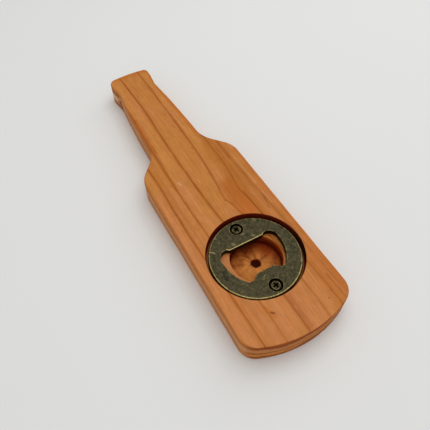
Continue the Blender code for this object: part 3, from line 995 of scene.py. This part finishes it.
def wood_material():
    n = Nodes("oiled_softwood")
    place = n.millimetres()
    x, y, z = n.parts(place)
    height = n.math("SUBTRACT", y, BASE_Y / MM)
    normal_x, normal_y, normal_z = n.parts(n.node("ShaderNodeTexCoord").outputs["Normal"])
    # On the board every value here is negative: painted shade.
    hole_shade_value = n.node("ShaderNodeAttribute", attribute_name="wear_and_shading").outputs["Fac"]
    hole_shade = n.span(hole_shade_value, 0.0, -1.0)

    color, line = face_color(n, place, x, height, z)
    ragged = n.node("ShaderNodeTexNoise")
    n.feed(ragged.inputs["Vector"], n.stretched(place, 0.6, 0.3, 0.6))
    n.feed(ragged.inputs["Detail"], 3.0)
    n.feed(ragged.inputs["Scale"], 1.0)
    push = n.vector("SUBTRACT", ragged.outputs["Color"], (0.5, 0.5, 0.5))
    push = n.stretched(push, 1.0, 2.5, 0.0)
    flat = n.vector("ADD", n.joined(x, height, 0.0), push)
    on_face = n.math("MULTIPLY", n.span(normal_z, 0.3, 0.8), n.span(z, 10.5, 11.3))
    color = marked(n, color, flat, FACE_MARKS, on_face)
    color = n.mix(line, color, LINE_BROWN)

    spoke, radius, facing = hole_directions(n, place)
    turned = n.stretched(facing, 2.1, 2.1, 0.0)
    inward_too = n.joined(0.0, 0.0, n.math("MULTIPLY", radius, 0.2))
    swirl = n.noise(n.vector("ADD", turned, inward_too), 1.0, 3.0, 0.55)
    in_pocket = n.math("MULTIPLY", n.span(z, 1.5, 2.5), n.span(z, 4.5, 3.5))
    in_pocket = n.math("MULTIPLY", in_pocket, n.span(normal_z, 0.5, 0.9))
    color = pocket_color(n, color, spoke, swirl, in_pocket)

    end_grain_and_shade = n.span(n.math("ABSOLUTE", normal_y), 0.35, 0.8, smooth=True)
    on_wall = n.span(n.math("ABSOLUTE", normal_z), 0.85, 0.45, smooth=True)
    color = n.mix(on_wall, color, wall_color(n, place, x, z, normal_x, radius, end_grain_and_shade))
    torn = n.vector("ADD", n.joined(height, z, 0.0), n.stretched(push, 0.8, 0.3, 0.0))
    on_left_wall = n.math("MULTIPLY", on_wall, n.span(normal_x, -0.2, -0.6))
    color = marked(n, color, torn, LIP_WALL_MARKS, on_left_wall)

    # Fibres, blotches and, on the pocket's floor, the marks of the cutter, made darker towards the lip side:
    # painted shade.
    fibre = n.noise(n.stretched(place, 5.0, 0.14, 5.0), 1.0, 3.0, 0.6)
    streak = n.noise(n.stretched(place, 1.4, 0.035, 1.4), 1.0, 2.0)
    blotch = n.noise(n.stretched(place, 0.45, 0.25, 0.45), 1.0, 3.0, 0.6)
    shade = n.math("ADD", n.span(fibre, 0.25, 0.75, 0.90, 1.08), n.span(streak, 0.3, 0.7, -0.08, 0.08))
    shade = n.math("ADD", shade, n.span(blotch, 0.3, 0.7, -0.07, 0.07))
    lip_side_shade = n.span(n.parts(facing)[1], -0.6, 0.7, 0.25, 1.0)
    cut_mark = n.math("MULTIPLY", n.span(swirl, 0.42, 0.66, 0.05, -0.45), lip_side_shade)
    shade = n.math("ADD", shade, n.math("MULTIPLY", cut_mark, in_pocket))
    color = n.mix(1.0, color, n.gray(shade), "MULTIPLY")
    # Painted shade in the holes: on the recess's and pocket's walls, in the spur hole and in the pilot
    # holes.
    color = n.mix(hole_shade, color, HOLE_SHADE_RED)
    # The recess's wall on its right, turned from the light, is painted black: painted shade.
    turned_from_light = n.vector("DOT_PRODUCT", n.joined(normal_x, normal_y, 0.0), (-0.85, 0.5, 0))
    turned_from_light = n.math("MULTIPLY", n.span(turned_from_light, 0.65, 0.95), n.math("MULTIPLY", on_wall, hole_shade))
    color = painted_deep_shade(n, color, place, z, radius, turned_from_light)

    n.feed(n.shader.inputs["Base Color"], color)
    rough = n.math("ADD", n.span(fibre, 0.2, 0.8, 0.52, 0.66), n.math("MULTIPLY", end_grain_and_shade, 0.12))
    n.feed(n.shader.inputs["Roughness"], n.span(hole_shade, 0, 1, rough, 0.9))
    relief = n.math("SUBTRACT", n.math("MULTIPLY", fibre, 0.6), n.math("MULTIPLY", line, 0.3))
    n.feed(n.shader.inputs["Normal"], n.bump(relief, 0.35, 0.06 * MM))
    n.shader.inputs["Specular IOR Level"].default_value = 0.08
    return n.material


# Colours of the brass, linear.
# Black patina, also used for painted shade on the plate's walls, in the counterbores and on the screws.
GRIME_AND_SHADE = (0.010, 0.008, 0.005)
RUBBED_AND_GLINT = (0.42, 0.325, 0.120)
FLECK = (0.17, 0.14, 0.07)
SMUDGE = (0.008, 0.010, 0.013)
DULL_GOLD = (0.30, 0.22, 0.11)
PLATE_PATINA = ((0.025, 0.0225, 0.0110), (0.073, 0.063, 0.0330))
SCREW_PATINA = ((0.028, 0.024, 0.012), (0.066, 0.057, 0.029))

# Marks on the plate, laid out like the board's.
PLATE_MARKS = [
    ((-16.2, 49.7), (-14.4, 48.2), 0.4, RUBBED_AND_GLINT, 0.6),
    ((-15.8, 34.8), (-15.6, 38.2), 1.4, SMUDGE, 0.5),
    ((-5.4, 48.4), (-4.9, 47.7), 0.8, DULL_GOLD, 0.45),
    ((4.5, 48.2), (5.1, 47.5), 0.8, DULL_GOLD, 0.35),
    ((0.5, 50.8), (1.6, 50.4), 0.6, FLECK, 0.7),
    ((-3.1, 27.6), (-1.5, 29.0), 0.5, FLECK, 0.6),
    ((-11.4, 55.0), (-10.4, 54.2), 0.5, FLECK, 0.8),
    ((9.0, 54.8), (10.0, 54.3), 0.5, FLECK, 0.7),
    ((15.5, 27.3), (16.3, 28.1), 0.6, FLECK, 0.7),
]


def brass_material(name, dark, light, marks):
    """Antique finish: dark where it is blackened and where shade is painted, bright where it shows rubbing
    and where a highlight is painted.
    """
    n = Nodes(name)
    place = n.millimetres()
    x, y, _ = n.parts(place)
    mottle = n.noise(place, 0.8, 5.0, 0.7)
    grain = n.noise(place, 3.2, 3.0, 0.7)
    patina = n.mix(n.span(mottle, 0.30, 0.70, smooth=True), dark, light)
    patina = n.mix(n.span(grain, 0.45, 0.68, 0.0, 0.65), patina, light)
    hairs = []
    for turn in (35, -50, 80):
        c, s = math.cos(math.radians(turn)), math.sin(math.radians(turn))
        along = n.vector("DOT_PRODUCT", place, (c, s, 0))
        across = n.vector("DOT_PRODUCT", place, (-s, c, 0))
        lengthwise = n.math("MULTIPLY", along, 0.22)
        scratch = n.joined(lengthwise, n.math("MULTIPLY", across, 3.4), turn)
        hairs.append(n.span(n.noise(scratch, 1.0, 2.0, 0.6), 0.60, 0.72))
    hair = n.math("MAXIMUM", hairs[0], n.math("MAXIMUM", hairs[1], hairs[2]))
    patina = n.mix(n.math("MULTIPLY", hair, 0.45), patina, FLECK)
    flat = n.joined(x, n.math("SUBTRACT", y, BASE_Y / MM), 0.0)
    ragged = n.noise(place, 1.1, 3.0)
    push = (n.span(ragged, 0.2, 0.8, -0.4, 0.4), n.span(grain, 0.2, 0.8, -0.4, 0.4), 0.0)
    flat = n.vector("ADD", flat, n.joined(*push))
    patina = marked(n, patina, flat, marks, 1.0)
    wear_and_shading = n.node("ShaderNodeAttribute", attribute_name="wear_and_shading").outputs["Fac"]
    # Bright brass where it shows rubbing, and where a highlight is painted on the rim and the lip.
    rubbed_and_lit = n.math("ADD", wear_and_shading, n.span(mottle, 0.3, 0.7, -0.35, 0.25))
    rubbed_and_lit = n.math("ADD", rubbed_and_lit, n.span(grain, 0.3, 0.7, -0.15, 0.15))
    rubbed_and_lit = n.span(rubbed_and_lit, 0.15, 1.05)
    color = n.mix(rubbed_and_lit, patina, RUBBED_AND_GLINT)
    # Black patina, with painted shade on the plate's walls, in the counterbores and on the screws' rims and
    # crosses.
    grime_and_shade = n.span(wear_and_shading, -0.05, -0.6)
    color = n.mix(grime_and_shade, color, GRIME_AND_SHADE)
    n.feed(n.shader.inputs["Base Color"], color)
    n.shader.inputs["Metallic"].default_value = 1.0
    n.feed(n.shader.inputs["Roughness"], n.span(rubbed_and_lit, 0, 1, 0.52, 0.36))
    relief = n.math("ADD", grain, n.math("MULTIPLY", hair, 0.4))
    n.feed(n.shader.inputs["Normal"], n.bump(relief, 0.3, 0.03 * MM))
    return n.material


def make_camera():
    camera = bpy.data.objects.new("camera", bpy.data.cameras.new("camera"))
    camera.data.lens = CAMERA_LENS
    camera.data.sensor_width = CAMERA_SENSOR
    forward = CAMERA_FORWARD.normalized()
    right = (CAMERA_RIGHT - forward * CAMERA_RIGHT.dot(forward)).normalized()
    up = right.cross(forward)
    turn = Matrix((right, up, -forward)).transposed()
    camera.matrix_world = Matrix.Translation(CAMERA_PLACE) @ turn.to_4x4()
    camera.data.clip_start = 0.01
    bpy.context.scene.collection.objects.link(camera)
    bpy.context.scene.camera = camera


def make_floor():
    mesh = bpy.data.meshes.new("floor")
    half = FLOOR_HALF_WIDTH
    corners = [(-half, -half), (half, -half), (half, half), (-half, half)]
    mesh.from_pydata([(x, y, -FLOOR_BELOW) for x, y in corners], [], [(0, 1, 2, 3)])
    floor = bpy.data.objects.new("floor", mesh)
    n = Nodes("pale_paper")
    n.shader.inputs["Base Color"].default_value = FLOOR_COLOR
    n.shader.inputs["Roughness"].default_value = 0.9
    n.shader.inputs["Specular IOR Level"].default_value = 0.1
    mesh.materials.append(n.material)
    bpy.context.scene.collection.objects.link(floor)


def make_light(name, place, size, power):
    """A round area light that points at the middle of the board."""
    light = bpy.data.lights.new(name, "AREA")
    light.shape = "DISK"
    light.size = size
    light.energy = power
    lamp = bpy.data.objects.new(name, light)
    lamp.location = place
    lamp.rotation_euler = (-Vector(place)).to_track_quat("-Z", "Y").to_euler()
    bpy.context.scene.collection.objects.link(lamp)


def make_world():
    world = bpy.data.worlds.new("studio")
    world.use_nodes = True
    background = world.node_tree.nodes["Background"]
    background.inputs["Color"].default_value = WORLD_COLOR
    background.inputs["Strength"].default_value = WORLD_STRENGTH
    bpy.context.scene.world = world


make_camera()
make_world()
make_floor()
for light_name, (place, size, power) in LIGHTS.items():
    make_light(light_name, place, size, power)
bpy.context.scene.view_settings.view_transform = "Standard"

wood = wood_material()
plate_brass = brass_material("antique_brass", *PLATE_PATINA, PLATE_MARKS)
screw_brass = brass_material("blackened_brass", *SCREW_PATINA, [])

board = make_board(wood)
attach(board, "root")
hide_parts("bottle_body")

plate = make_plate(plate_brass)
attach(plate, "root")
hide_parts("opener_plate")

SCREW_NODES = {"screw_upper": "plate_screw_upper", "screw_lower": "plate_screw_lower"}
for piece_name, node_name in SCREW_NODES.items():
    screw = make_screw(piece_name, node_name, screw_brass)
    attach(screw, "root")
    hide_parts(node_name)
